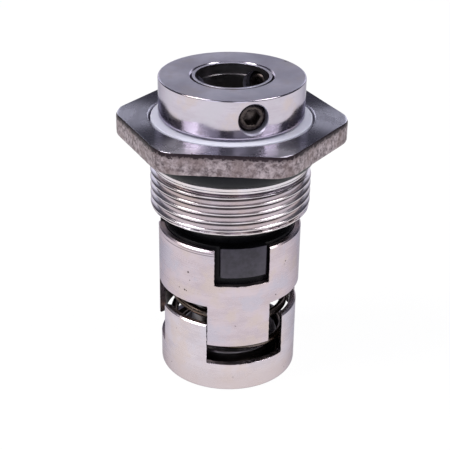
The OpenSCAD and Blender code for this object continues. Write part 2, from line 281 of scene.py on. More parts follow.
def closeTree(bench, geometry, given):
    smooth = bench.add("GeometryNodeSetShadeSmooth", {"Geometry": geometry}).outputs[0]
    real = bench.add("GeometryNodeRealizeInstances", {"Geometry": smooth}).outputs[0]
    finished = bench.add("GeometryNodeSetMaterial", {"Geometry": real, "Material": given["Finish"]}).outputs[0]
    bench.add("NodeGroupOutput", {"Geometry": finished})


def inMetres(values):
    return {key: value * mm for key, value in values.items()}


def grow(name, tree, values, startMesh=None):  # runs a tree once and keeps its mesh
    source = looseObject(name + "Source", startMesh or bpy.data.meshes.new(name + "Start"))
    modifier = source.modifiers.new(tree.name, "NODES")
    modifier.node_group = tree
    for item in tree.interface.items_tree:
        if item.in_out == "INPUT" and item.name in values:
            modifier[item.identifier] = values[item.name]
    return freeze(source, name)


# Finishes

steelLook = {
    "light": (0.67, 0.59, 0.63), "dark": (0.55, 0.475, 0.51), "warm": (0.62, 0.525, 0.51), "cool": (0.59, 0.56, 0.63),
    "roughness": 0.27, "metallic": 1.0, "lineHeight": 0.16 * mm, "lineDepth": 0.0022 * mm,
    "lineShare": 0.32, "lineStretch": 0.02, "broadScale": (150, 150, 330), "patchScale": 190, "stainScale": 260,
    "grooveRadius": 0.0, "grooveFade": 0.16, "rootDirtAndShade": (0.05, 0.038, 0.04),
    "footHeight": 0.0, "footTone": (0.60, 0.505, 0.50),
    "scribes": (), "scribeFade": 2.0, "scribeShade": (0.10, 0.075, 0.09),
    "pitScale": 620.0, "pitShade": (0.05, 0.035, 0.03), "edgeTint": (0.5, 0.5, 0.55, 1),
}


def steelFinish(name, look, pits=()):
    # brushed round the axis: lines that are long round the piece and narrow along Z
    material, bench, shader, coords = makeMaterial(name)
    m, ramp = bench.math, bench.ramp
    x, y, z = bench.parts(coords)
    fine = 1 / look["lineHeight"]
    along = look["lineStretch"] * fine
    lines = bench.noise(bench.stretched(coords, (along, along, fine)), 1.0, 3.0, 0.65)
    broad = bench.noise(bench.stretched(coords, look["broadScale"]), 1.0, 5.0, 0.65)
    patch = bench.noise(coords, look["patchScale"], 4.0, 0.6)
    stain = ramp(bench.noise(coords, look["stainScale"], 6.0, 0.7), 0.56, 0.72)
    mixed = m("ADD", m("MULTIPLY", lines, look["lineShare"]), m("MULTIPLY", broad, 1 - look["lineShare"]))
    tone = bench.mix(ramp(mixed, 0.36, 0.64), look["dark"], look["light"])
    tone = bench.mix(ramp(patch, 0.5, 0.65, 0.0, 0.6), tone, look["warm"])
    tone = bench.mix(ramp(patch, 0.36, 0.5, 0.65, 0.0), tone, look["cool"])
    tone = bench.mix(m("MULTIPLY", stain, 0.3), tone, look["dark"])
    if look["footHeight"]:  # warmer and duller towards the foot
        foot = look["footHeight"] * mm
        tone = bench.mix(ramp(z, 0.25 * foot, foot, 0.65, 0.0), tone, look["footTone"])
    if look["grooveRadius"]:  # painted shade in the roots, with some dirt
        flat = bench.stretched(coords, (1, 1, 0))
        span = bench.add("ShaderNodeVectorMath", {0: flat}, operation="LENGTH").outputs["Value"]
        root = look["grooveRadius"]
        depth = ramp(span, root * mm, (root + look["grooveFade"]) * mm, 0.92, 0.0)
        tone = bench.mix(depth, tone, look["rootDirtAndShade"])
    for height, width, leftEnd, rightEnd in look["scribes"]:  # fine lines on the front, fading to both sides
        fade = look["scribeFade"]
        mark = ramp(m("ABSOLUTE", m("SUBTRACT", z, height * mm)), 0.3 * width * mm, width * mm, 0.75, 0.0)
        mark = m("MULTIPLY", mark, ramp(x, leftEnd * mm, (leftEnd + fade) * mm))
        mark = m("MULTIPLY", mark, ramp(x, (rightEnd - fade) * mm, rightEnd * mm, 1.0, 0.0))
        mark = m("MULTIPLY", mark, ramp(y, -3 * mm, -1 * mm, 1.0, 0.0))
        tone = bench.mix(mark, tone, look["scribeShade"])
    dots = bench.add("ShaderNodeTexVoronoi", {"Vector": coords, "Scale": look["pitScale"]}).outputs["Distance"]
    rare = bench.noise(coords, 330, 2.0, 0.5)
    pit = m("MULTIPLY", ramp(dots, 0.10, 0.2, 1.0, 0.0), ramp(rare, 0.66, 0.7))
    for radius, angle, height, size in pits:
        spot = Vector(polar(radius, front + math.radians(angle), height)) * mm
        gap = bench.add("ShaderNodeVectorMath", {0: coords, 1: spot}, operation="DISTANCE").outputs["Value"]
        pit = m("MAXIMUM", pit, ramp(gap, 0.5 * size * mm, size * mm, 1.0, 0.0))
    tone = bench.mix(pit, tone, look["pitShade"])
    rough = ramp(mixed, 0.3, 0.7, look["roughness"] - 0.06, look["roughness"] + 0.08)
    relief = m("SUBTRACT", lines, m("MULTIPLY", pit, 3.0))
    bench.dress(shader, tone, rough, look["metallic"], relief, 0.6, look["lineDepth"])
    shader.inputs["Specular Tint"].default_value = look["edgeTint"]  # duller towards the outline
    return material


turnedLook = {
    "light": (0.60, 0.575, 0.655), "dark": (0.46, 0.445, 0.51), "roughness": 0.27,
    "ringWidth": 0.12 * mm, "ringDepth": 0.002 * mm, "anisotropy": 1.0, "anisotropyTurn": 0.25,
}


def turnedFinish(name, look):
    # faced in a lathe: fine rings round the axis that spread light into radial fans
    material, bench, shader, coords = makeMaterial(name)
    m, ramp = bench.math, bench.ramp
    x, y, z = bench.parts(coords)
    span = m("SQRT", m("ADD", m("MULTIPLY", x, x), m("MULTIPLY", y, y)))
    fine = 1 / look["ringWidth"]
    place = bench.add("ShaderNodeCombineXYZ", {0: m("MULTIPLY", span, fine), 1: m("MULTIPLY", z, fine)}).outputs[0]
    rings = bench.noise(place, 1.0, 3.0, 0.6)
    broad = bench.noise(coords, 210, 4.0, 0.6)
    tone = bench.mix(ramp(rings, 0.3, 0.7), look["dark"], look["light"])
    tone = bench.mix(ramp(broad, 0.4, 0.75, 0.0, 0.45), tone, look["dark"])
    rough = ramp(broad, 0.3, 0.7, look["roughness"] - 0.04, look["roughness"] + 0.05)
    bench.dress(shader, tone, rough, 1.0, rings, 0.5, look["ringDepth"])
    shader.inputs["Anisotropic"].default_value = look["anisotropy"]
    shader.inputs["Anisotropic Rotation"].default_value = look["anisotropyTurn"]  # spreads light across the rings
    tangent = bench.add("ShaderNodeTangent", direction_type="RADIAL", axis="Z").outputs[0]
    bench.feed(shader, "Tangent", tangent)
    return material


castLook = {
    "light": (0.54, 0.46, 0.49), "dark": (0.13, 0.10, 0.11), "blotch": (0.24, 0.18, 0.18), "edge": (0.028, 0.018, 0.024),
    "edgeTop": 48.2 * mm, "edgeDepth": 1.0 * mm, "roughness": 0.42, "metallic": 0.85,
    "grain": 0.7 * mm, "grainDepth": 0.05 * mm,
}


def castFinish(name, look):
    # blasted casting: close mottled grain, with a dark ragged band along its top edge
    material, bench, shader, coords = makeMaterial(name)
    m, ramp = bench.math, bench.ramp
    grain = bench.noise(coords, 1 / look["grain"], 6.0, 0.68)
    blotch = bench.noise(coords, 0.22 / look["grain"], 4.0, 0.6)
    tone = bench.mix(ramp(grain, 0.32, 0.66), look["dark"], look["light"])
    tone = bench.mix(ramp(blotch, 0.42, 0.66, 0.0, 0.65), tone, look["blotch"])
    depth = look["edgeDepth"]
    ragged = m("MULTIPLY", m("SUBTRACT", grain, 0.5), 3.2 * depth)
    below = m("SUBTRACT", look["edgeTop"], m("ADD", bench.parts(coords)[2], ragged))
    tone = bench.mix(ramp(below, 0.6 * depth, 0.9 * depth, 0.96, 0.0), tone, look["edge"])
    rough = ramp(grain, 0.3, 0.7, look["roughness"] + 0.15, look["roughness"])
    bench.dress(shader, tone, rough, look["metallic"], grain, 0.8, look["grainDepth"])
    return material


def plainFinish(name, light, dark, roughness, metallic=0.0, grain=0.4 * mm, specular=0.5):
    # smooth solid with a fine grain: rubber, plastic, carbide, oxide-black steel
    grainDepth = 0.003 * mm
    material, bench, shader, coords = makeMaterial(name)
    m, ramp = bench.math, bench.ramp
    fine = bench.noise(coords, 1 / grain, 5.0, 0.6)
    broad = bench.noise(coords, 0.12 / grain, 3.0, 0.5)
    share = m("ADD", m("MULTIPLY", fine, 0.5), m("MULTIPLY", broad, 0.5))
    tone = bench.mix(ramp(share, 0.35, 0.65), dark, light)
    rough = ramp(fine, 0.3, 0.7, roughness - 0.05, roughness + 0.06)
    bench.dress(shader, tone, rough, metallic, fine, 0.5, grainDepth)
    shader.inputs["Specular IOR Level"].default_value = specular
    return material


cupPits = [  # radius, degrees from the front, height, size
    (12.35, -14.3, 11.02, 0.11), (12.35, -52.3, 2.46, 0.13), (12.35, 8.2, 2.91, 0.11), (12.35, 60.6, 1.53, 0.13),
]
retainerPits = [
    (12.65, -39.5, 19.54, 0.14), (12.65, -33.7, 19.49, 0.22), (12.65, -32.0, 19.40, 0.15), (12.65, -28.8, 21.69, 0.13),
    (12.65, 54.1, 24.38, 0.16), (12.65, 52.9, 23.85, 0.11), (12.65, 44.1, 18.53, 0.15), (12.65, 76.9, 24.96, 0.13),
]
cupSteel = steelFinish("brushedCupSteel", {
    **steelLook, "light": (0.74, 0.67, 0.72), "dark": (0.60, 0.535, 0.58), "warm": (0.69, 0.58, 0.55),
    "cool": (0.65, 0.62, 0.70), "footHeight": 6.5,
}, cupPits)
retainerSteel = steelFinish("brushedRetainerSteel", {
    **steelLook, "light": (0.675, 0.58, 0.63), "dark": (0.55, 0.465, 0.51), "warm": (0.65, 0.545, 0.50),
    "cool": (0.555, 0.53, 0.62), "scribes": ((27.25, 0.11, -12, 1), (27.66, 0.09, -9, 2)),
}, retainerPits)
flankSteel = steelFinish("cutFlankSteel", {
    **steelLook, "light": (0.44, 0.35, 0.285), "dark": (0.27, 0.205, 0.16), "warm": (0.40, 0.30, 0.225),
    "cool": (0.34, 0.27, 0.225), "roughness": 0.4, "metallic": 0.35,
})
# painted shade: the insides of the cup and retainer are darker and browner, partly dirt and partly the shade inside the
# shells
innerDirtAndShadeSteel = steelFinish("innerSteelDirtAndShade", {
    **steelLook, "light": (0.30, 0.245, 0.20), "dark": (0.17, 0.13, 0.10), "warm": (0.27, 0.19, 0.13),
    "cool": (0.19, 0.165, 0.15), "roughness": 0.4, "metallic": 0.6,
})
collarSteel = steelFinish("brushedCollarSteel", {
    **steelLook, "light": (0.62, 0.57, 0.65), "dark": (0.54, 0.49, 0.56), "roughness": 0.13, "lineDepth": 0.0015 * mm,
})
sleeveSteel = steelFinish("sleeveSteel", {
    **steelLook, "light": (0.34, 0.32, 0.33), "dark": (0.22, 0.205, 0.21), "warm": (0.28, 0.25, 0.23),
    "cool": (0.26, 0.26, 0.28), "roughness": 0.3,
})
threadSteel = steelFinish("threadSteel", {
    **steelLook, "light": (0.80, 0.74, 0.77), "dark": (0.68, 0.62, 0.635), "warm": (0.73, 0.65, 0.62),
    "cool": (0.72, 0.695, 0.75), "roughness": 0.2, "lineHeight": 0.1 * mm, "lineDepth": 0.0007 * mm,
    # the thread roots get painted shade and some dirt
    "grooveRadius": 13.13,
})
# painted shade: the spring wire is darkened because it sits in shade inside the cup and retainer
shadedWireSteel = steelFinish("springWireShadedSteel", {
    **steelLook, "light": (0.17, 0.14, 0.12), "dark": (0.08, 0.063, 0.053), "warm": (0.12, 0.085, 0.06),
    "cool": (0.11, 0.10, 0.095), "roughness": 0.25,
})
mottledSteel = steelFinish("mottledSteel", {
    **steelLook, "light": (0.66, 0.645, 0.76), "dark": (0.51, 0.495, 0.60), "warm": (0.57, 0.535, 0.58),
    "cool": (0.56, 0.565, 0.68), "roughness": 0.36, "lineHeight": 0.9 * mm, "lineDepth": 0.001 * mm, "metallic": 0.55,
})
facedSteel = turnedFinish("facedSteel", turnedLook)
castSteel = castFinish("castSteel", castLook)
blackRubber = plainFinish("blackRubber", (0.014, 0.0145, 0.019), (0.008, 0.0085, 0.012), 0.42, specular=0.24)
darkCarbide = plainFinish("darkCarbide", (0.007, 0.007, 0.009), (0.004, 0.004, 0.005), 0.3, grain=0.3 * mm, specular=0.12)
groundCarbide = plainFinish("groundCarbide", (0.064, 0.055, 0.080), (0.022, 0.018, 0.030), 0.36, grain=0.9 * mm)
whitePlastic = plainFinish("whitePlastic", (0.90, 0.92, 1.0), (0.86, 0.88, 1.0), 0.38, grain=0.5 * mm)
screwSteel = plainFinish("oxideScrewSteel", (0.115, 0.095, 0.09), (0.05, 0.04, 0.036), 0.3, metallic=1.0)
print("finishes ready")


# Drive cup and ring retainer

def warpedAngles(breaks, columns):
    # angle of each column, straight between the breaks (column, degrees from the front), repeated at each third
    perThird = columns // 3
    first = breaks[0][0]
    angles = []
    for k in range(columns):
        local = (k - first) % perThird + first
        lap = (k - local) // perThird
        for (k0, a0), (k1, a1) in zip(breaks, breaks[1:]):
            if k0 <= local <= k1:
                angle = a0 + (a1 - a0) * (local - k0) / (k1 - k0)
                break
        angles.append(front + math.radians(angle) + lap * third)
    return angles


def flankAngle(width, radius):
    return math.degrees(math.asin(width / 2 / radius))


def blendAngles(low, high, share):
    return [a + (b - a) * share for a, b in zip(low, high)]


def burred(points, edgeColumns, amount, seed, upright):
    # roughens the milled edge: shifts the points of the given columns a little along the cut
    moved = list(points)
    for j in edgeColumns:
        x, y, z = points[j]
        shift = amount * speckle(3.1 * x + seed, 3.1 * y, 2.3 * z + seed)
        if upright:
            z += shift
        else:
            a = math.atan2(y, x) + shift / math.hypot(x, y)
            x, y = math.hypot(x, y) * math.cos(a), math.hypot(x, y) * math.sin(a)
        moved[j] = (x, y, z)
    return moved


def wallRows(draft, spec, angles, heights, present, setBack, flankSeed, floorRow, floorSeed, floorShare=1.0):
    # rows of points of the outer and inner wall, rough along the flanks and the floors of the notches
    count = spec["columns"]
    flanks = [j for j in range(count) if present(j) != present(j - 1)]
    floors = [j for j in range(count) if not present(j) or not present(j - 1)]
    outer, inner = [], []
    for k, z in enumerate(heights):
        points = [polar(spec["outerRadius"] - setBack.get(k, 0), a, z) for a in angles[0]]
        points = burred(points, flanks, spec["burr"], flankSeed, False)
        if k == floorRow:
            points = burred(points, floors, floorShare * spec["burr"], floorSeed, True)
        outer.append(draft.row(points))
        inner.append(draft.ring(spec["innerRadius"], z, angles[1]))
    return outer, inner


def wallTeeth(draft, outer, inner, present, openBelow):
    # two matching stacks of rows become a wall where present, with flanks beside each notch
    # its open end shows the wall's edge, and the other end shows the floors of the notches
    count = len(outer[0])
    for k in range(len(outer) - 1):
        draft.strip(outer[k], outer[k + 1], keep=present)
        draft.strip(inner[k], inner[k + 1], 1, keep=present, inward=True)
        for j in range(count):
            here, before = present(j), present((j - 1) % count)
            flank = [outer[k][j], outer[k + 1][j], inner[k + 1][j], inner[k][j]]
            if here and not before:
                draft.face(flank)
            elif before and not here:
                draft.face(flank[::-1])

    def missing(j):
        return not present(j)

    if openBelow:
        draft.strip(inner[0], outer[0], keep=present)
        draft.strip(inner[-1], outer[-1], keep=missing)
    else:
        draft.strip(outer[-1], inner[-1], keep=present)
        draft.strip(outer[0], inner[0], keep=missing)


cup = {
    "outerRadius": 12.35, "innerRadius": 11.25, "floor": 1.5, "boreRadius": 6.8, "edgeRounding": 0.6,
    "ringHeight": 5.5, "topHeight": 13.25, "rimChamfer": 0.25, "notchWidth": 13.9, "firstNotch": 20.2,
    "columns": 180, "toothRows": 22, "burr": 0.1, "fillet": 0.25, "filletFold": 0.08, "boreRounding": 0.2,
    "boreSupport": 0.5, "support": 0.6, "innerHeight": 4.5, "outerHeights": (1.1, 2.6, 4.2), "arcSteps": 6,
    "linedRows": 8,  # the first rows line the inside down to the bore
}


def makeCup(spec):
    draft = MeshDraft()
    perThird = spec["columns"] // 3
    radii = (spec["outerRadius"], spec["innerRadius"])
    halves = [flankAngle(spec["notchWidth"], r) for r in radii]
    notchColumns = round(perThird * 2 * halves[0] / 120)
    centre = spec["firstNotch"]
    angles = []
    for h in halves:
        breaks = [(0, centre - h), (notchColumns, centre + h), (perThird, centre - h + 120)]
        angles.append(warpedAngles(breaks, spec["columns"]))

    def present(j):
        return j % perThird >= notchColumns

    heights = evenSteps(spec["ringHeight"], spec["topHeight"] - spec["rimChamfer"], spec["toothRows"])
    heights.append(spec["topHeight"])
    setBack = {len(heights) - 1: spec["rimChamfer"]}
    outer, inner = wallRows(draft, spec, angles, heights, present, setBack, 4.0, 0, 9.0)
    wallTeeth(draft, outer, inner, present, False)
    r0, r1 = radii
    b, e, f = spec["boreRadius"], spec["edgeRounding"], spec["floor"]
    fillet, fold, edge, wide = spec["fillet"], spec["filletFold"], spec["boreRounding"], spec["support"]
    near = spec["boreSupport"]
    path = [(r1, spec["innerHeight"], 1), (r1, f + wide, 1), (r1, f + fillet, 1), (r1 - fold, f + fold, 1)]
    path += [(r1 - fillet, f, 1), (r1 - wide, f, 0.9), (b + near, f, 0.5), (b + edge, f, 0.5)]
    path += [(b, f - edge, 0.5), (b, edge, 0.5), (b + edge, 0, 0.5), (b + wide, 0, 0.4), (r0 - e - wide, 0, 0)]
    for a in evenSteps(0, turn / 4, spec["arcSteps"]):
        path.append((r0 - e + e * math.sin(a), e - e * math.cos(a), 0))
    path += [(r0, z, 0) for z in spec["outerHeights"]]
    rows = [inner[0]] + [draft.ring(r, z, blendAngles(*angles, share)) for r, z, share in path] + [outer[0]]
    lined = spec["linedRows"]
    draft.stack(rows[:lined + 1], 1)
    draft.stack(rows[lined:])
    return draft


retainer = {
    "outerRadius": 12.65, "innerRadius": 11.55, "bottom": 9.3, "tabRoot": 17.25, "notchFloor": 21.55, "top": 28.2,
    "flangeRadius": 7.3125, "flangeLow": 19.05, "flangeHigh": 20.25, "flangeRounding": 0.15, "flangeSupport": 0.4,
    "flangeRoot": 0.5, "flangeFillet": 0.1, "rimChamfer": 0.25, "tabTurn": 12.4, "gapWidth": 14.2,
    "notchTurn": 14.5, "notchWidth": 9.6, "columns": 180, "tabColumns": 26, "notchColumns": (3, 25),
    "tabRows": 22, "notchRows": 18, "bandRows": 8, "burr": 0.1, "scribeBelowRim": 0.95, "scribeDepth": 0.05,
}


def makeRetainer(spec):
    draft = MeshDraft()
    count, perThird = spec["columns"], spec["columns"] // 3
    tabEnd = spec["tabColumns"]
    notchStart, notchEnd = spec["notchColumns"]
    gap, notch = spec["tabTurn"] + 60, spec["notchTurn"]
    tabAngles, notchAngles = [], []
    for r in (spec["outerRadius"], spec["innerRadius"]):
        h = flankAngle(spec["gapWidth"], r)
        tabAngles.append(warpedAngles([(0, gap + h - 120), (tabEnd, gap - h), (perThird, gap + h)], count))
        h = flankAngle(spec["notchWidth"], r)
        breaks = [(notchStart, notch - h), (notchEnd, notch + h), (notchStart + perThird, notch - h + 120)]
        notchAngles.append(warpedAngles(breaks, count))

    def isTab(j):
        return j % perThird < tabEnd

    def isLand(j):
        return not notchStart <= j % perThird < notchEnd

    root, floor, chamfer = spec["tabRoot"], spec["notchFloor"], spec["rimChamfer"]
    heights = [spec["bottom"]] + evenSteps(spec["bottom"] + chamfer, root, spec["tabRows"])
    last = len(heights) - 1
    lowOuter, lowInner = wallRows(draft, spec, tabAngles, heights, isTab, {0: chamfer}, 2.0, last, 5.0, 0.6)
    heights = evenSteps(floor, spec["top"] - chamfer, spec["notchRows"]) + [spec["top"]]
    line = spec["top"] - spec["scribeBelowRim"]
    gaps = [abs(z - line) for z in heights]
    setBack = {len(heights) - 1: chamfer, gaps.index(min(gaps)): spec["scribeDepth"]}
    highOuter, highInner = wallRows(draft, spec, notchAngles, heights, isLand, setBack, 7.0, 0, 3.0, 1.5)
    wallTeeth(draft, lowOuter, lowInner, isTab, True)
    wallTeeth(draft, highOuter, highInner, isLand, False)
    bandOuter = [lowOuter[-1]]
    for share in evenSteps(0, 1, spec["bandRows"])[1:-1]:
        between = blendAngles(tabAngles[0], notchAngles[0], share)
        bandOuter.append(draft.ring(spec["outerRadius"], root + (floor - root) * share, between))
    bandOuter.append(highOuter[0])
    low, high, lip, wall = spec["flangeLow"], spec["flangeHigh"], spec["flangeRadius"], spec["innerRadius"]
    c, wide, deep, fillet = spec["flangeRounding"], spec["flangeSupport"], spec["flangeRoot"], spec["flangeFillet"]
    path = [(wall, low - wide), (wall, low - c), (wall - c, low), (wall - deep, low), (lip + wide, low), (lip + c, low)]
    path += [(lip, low + c), (lip, high - c), (lip + c, high), (lip + wide, high), (wall - deep, high)]
    path += [(wall - fillet, high), (wall, high + fillet), (wall, high + wide)]
    bandInner = [lowInner[-1]]
    for k, (r, z) in enumerate(path):
        between = blendAngles(tabAngles[1], notchAngles[1], (k + 1) / (len(path) + 1))
        bandInner.append(draft.ring(r, z, between))
    bandInner.append(highInner[0])
    draft.stack(bandOuter)
    draft.stack(bandInner, 1, True)
    return draft


def colourFlanks(mesh, spec):  # the tabs' cut flanks are browner than the brushed outside
    for face in mesh.polygons:
        outward = Vector((face.center.x, face.center.y, 0)).normalized()
        isSide = abs(face.normal.z) < 0.3 and abs(face.normal.dot(outward)) < 0.4
        if isSide and face.center.z < spec["tabRoot"] * mm:
            face.material_index = 2


def bevelEdges(piece, width=0.09, angle=50, segments=2):
    bevel = piece.modifiers.new("edges", "BEVEL")
    bevel.width = width * mm
    bevel.segments = segments
    bevel.limit_method = "ANGLE"
    bevel.angle_limit = math.radians(angle)
    bevel.harden_normals = True


cupMesh = makeCup(cup).mesh("driveCup", [cupSteel, innerDirtAndShadeSteel])
bevelEdges(addPiece("driveCup", cupMesh, "rotor", "drive_cup"))
retainerMesh = makeRetainer(retainer).mesh("ringRetainer", [retainerSteel, innerDirtAndShadeSteel, flankSteel])
colourFlanks(retainerMesh, retainer)
bevelEdges(addPiece("ringRetainer", retainerMesh, "follower", "ring_retainer"))
print("cup and retainer ready")


# Thread, grown on a piece's open band

def makeThreadTree():
    tree, bench, given = geometryTree("threadBand", [
        "crestRadius", "depth", "pitch", "lowEnd", "highEnd", "lowSlope", "highSlope", "crestShift", "crestShare",
        "rootShare", "flankBulge", "endRingRadius", "endRingHeight",
    ], ["columns", "rowsPerPitch"])
    m = bench.math
    span = m("SUBTRACT", given["highEnd"], given["lowEnd"])
    laps = m("ADD", m("DIVIDE", span, given["pitch"]), 1.0)
    rows = m("CEIL", m("MULTIPLY", laps, given["rowsPerPitch"]))
    grid = bench.add("GeometryNodeMeshGrid", {
        "Size X": 1.0, "Size Y": 1.0,
        "Vertices X": m("ADD", given["columns"], 1.0), "Vertices Y": m("ADD", rows, 1.0),
    }).outputs["Mesh"]
    place = bench.parts(bench.add("GeometryNodeInputPosition").outputs[0])
    around = m("ADD", place[0], 0.5)
    step = m("ROUND", m("MULTIPLY", m("ADD", place[1], 0.5), rows))
    lap = m("DIVIDE", step, given["rowsPerPitch"])
    rise = m("ADD", m("SUBTRACT", lap, 1.0), around)
    height = m("ADD", given["lowEnd"], m("MULTIPLY", rise, given["pitch"]))
    height = m("MINIMUM", m("MAXIMUM", height, given["lowEnd"]), given["highEnd"])
    phase = m("MODULO", m("SUBTRACT", m("ADD", lap, 4.0), given["crestShift"]), 1.0)
    # 0 on the crest, half a pitch at the root
    fromCrest = m("SUBTRACT", 0.5, m("ABSOLUTE", m("SUBTRACT", phase, 0.5)))
    cut = bench.add("ShaderNodeMapRange", {
        "Value": fromCrest, "From Min": given["crestShare"], "From Max": given["rootShare"],
    }).outputs[0]
    sunk = m("MULTIPLY", m("POWER", cut, given["flankBulge"]), given["depth"])
    radius = m("SUBTRACT", given["crestRadius"], sunk)
    above = m("MAXIMUM", m("SUBTRACT", m("SUBTRACT", height, given["lowEnd"]), given["endRingHeight"]), 0.0)
    radius = m("MAXIMUM", radius, m("SUBTRACT", given["endRingRadius"], m("MULTIPLY", above, 6.0)))
    root = m("SUBTRACT", given["crestRadius"], given["depth"])
    lowLimit = m("ADD", root, m("MULTIPLY", m("SUBTRACT", height, given["lowEnd"]), given["lowSlope"]))
    highLimit = m("ADD", root, m("MULTIPLY", m("SUBTRACT", given["highEnd"], height), given["highSlope"]))
    radius = m("MINIMUM", radius, m("MINIMUM", lowLimit, highLimit))
    spot = bench.polarPoint(radius, m("MULTIPLY", around, turn), height)
    band = bench.add("GeometryNodeSetPosition", {"Geometry": grid, "Position": spot}).outputs[0]
    band = bench.add("GeometryNodeSetMaterial", {"Geometry": band, "Material": given["Finish"]}).outputs[0]
    both = bench.add("GeometryNodeJoinGeometry")
    tree.links.new(band, both.inputs[0])
    tree.links.new(given["Geometry"], both.inputs[0])
    welded = bench.add("GeometryNodeMergeByDistance", {"Geometry": both.outputs[0], "Distance": 0.002 * mm}).outputs[0]
    real = bench.add("GeometryNodeRealizeInstances", {"Geometry": welded}).outputs[0]
    bench.add("NodeGroupOutput", {"Geometry": real})
    return tree


threadTree = makeThreadTree()


# Hexagon carrier

carrier = {
    "bottom": 32.0, "lipTop": 40.5, "hexLow": 44.4, "hexHigh": 48.15, "threadRadius": 14.0, "pitch": 1.5,
    "threadDepth": 0.9, "threadTop": 39.3, "lipLow": 39.4, "lipRadius": 13.6, "lipLine": 39.86,
    "grooveRadius": 11.15, "reliefRadius": 15.3, "reliefHeight": 0.25,
    "boreRadius": 7.4, "pocketRadius": 11.05, "pocketTop": 38.35, "washerPocketRadius": 14.2, "washerPocket": 46.05,
    "apothem": 17.85, "cornerRounding": 5.2, "chamferDrop": 0.2, "chamferAngle": 30, "columns": 288,
    "castRoughness": 0.05, "sideRows": 6, "sideRise": 3.15, "rowsPerPitch": 24, "crestRow": 20, "crestRows": 1,
    "rootRows": 11, "flankBulge": 1.35, "endRingRadius": 13.85, "endRingHeight": 0.3,
}


def hexRadius(spec, angle):
    half = math.radians(30)
    near = angle - 2 * half * round(angle / (2 * half))
    corner = spec["cornerRounding"]
    centre = (spec["apothem"] - corner) / math.cos(half)
    reach = centre * math.cos(near) + math.sqrt(max(corner ** 2 - (centre * math.sin(near)) ** 2, 0))
    bend = math.atan2(reach * math.sin(near), reach * math.cos(near) - centre)
    return reach if abs(bend) <= half else spec["apothem"] / math.cos(half - abs(near))


def makeCarrier(spec):
    draft = MeshDraft()
    angles = evenAngles(spec["columns"])
    root = spec["threadRadius"] - spec["threadDepth"]
    reach = spec["cornerRounding"] + (spec["apothem"] - spec["cornerRounding"]) / math.cos(math.radians(30))
    slope = math.tan(math.radians(spec["chamferAngle"]))
    flatEnd = reach - spec["chamferDrop"] / slope
    edge = [hexRadius(spec, a) for a in angles]
    turned, cast, threaded, bored = 0, 1, 2, 3  # places in the list of finishes
    rows = []

    def topAt(r):
        return spec["hexHigh"] - max(0, r - flatEnd) * slope

    def rings(finish, path):
        for r, z in path:
            rows.append((draft.ring(r, z, angles), finish))

    def hexRow(inset, height, finish, rough=0.0, onTop=False):
        points = []
        for a, h in zip(angles, edge):
            r = h - inset
            z = topAt(r) if onTop else height
            if not onTop and height > spec["hexHigh"] - 1:
                z = min(height, topAt(h) - (spec["hexHigh"] - height))
            r -= rough * (0.5 + 0.5 * speckle(0.9 * r * math.cos(a), 0.9 * r * math.sin(a), 1.1 * z))
            points.append(polar(r, a, z))
        rows.append((draft.row(points), finish))

    def flatRow(inset, limit):  # inside the hexagon's edge, and no further out than the limit
        reaches = [min(h - inset, limit) for h in edge]
        rows.append((draft.row([polar(r, a, topAt(r)) for a, r in zip(angles, reaches)]), turned))

    low, high, rough = spec["hexLow"], spec["hexHigh"], spec["castRoughness"]
    lip, foot, top, line = spec["lipRadius"], spec["lipLow"], spec["lipTop"], spec["lipLine"]
    rings(threaded, [
        (root, spec["threadTop"]), (root, foot - 0.02), (root + 0.1, foot), (lip - 0.1, foot), (lip - 0.03, foot + 0.02),
        (lip, foot + 0.06), (lip, line - 0.1), (lip, line - 0.05), (lip - 0.06, line), (lip, line + 0.05),
        (lip, line + 0.1), (lip, top - 0.2), (lip, top - 0.12), (lip - 0.03, top - 0.05), (lip - 0.12, top),
        (lip - 0.4, top),
    ])
    groove, relief, ledge = spec["grooveRadius"], spec["reliefRadius"], low + spec["reliefHeight"]
    rings(cast, [
        (groove + 0.3, top), (groove, top + 0.3), (groove, low), (groove + 0.2, ledge), (relief, ledge), (relief, low),
        (relief + 1, low),
    ])
    hexRow(0.9, low, cast)
    hexRow(0.3, low + 0.01, cast)
    hexRow(0.08, low + 0.08, cast, rough)
    for z in evenSteps(low + 0.3, low + 0.3 + spec["sideRise"], spec["sideRows"]):
        hexRow(0.0, z, cast, rough)
    hexRow(0.05, high - 0.14, cast, rough)
    hexRow(0.16, 0, cast, 0.6 * rough, True)
    hexRow(0.3, 0, turned, 0.0, True)
    flatRow(0.5, flatEnd + 0.05)
    flatRow(0.7, flatEnd - 0.1)
    w, pocket, b = spec["washerPocketRadius"], spec["washerPocket"], spec["boreRadius"]
    rings(turned, [
        (16.2, high), (14.6, high), (w + 0.25, high), (w + 0.1, high - 0.03), (w, high - 0.14), (w, high - 0.4),
        (w, pocket), (b + 0.3, pocket), (b, pocket - 0.3),
    ])
    p, top, bottom = spec["pocketRadius"], spec["pocketTop"], spec["bottom"]
    rings(bored, [
        (b, top + 0.2), (b + 0.2, top), (p - 0.2, top), (p, top - 0.2), (p, bottom + 0.6), (p, bottom + 0.25),
        (p + 0.25, bottom), (p + 0.6, bottom), (root, bottom),
    ])
    for (lowRow, _), (highRow, finish) in zip(rows, rows[1:]):
        draft.strip(lowRow, highRow, finish)
    return draft.mesh("sealCarrierStart", [facedSteel, castSteel, threadSteel, sleeveSteel])


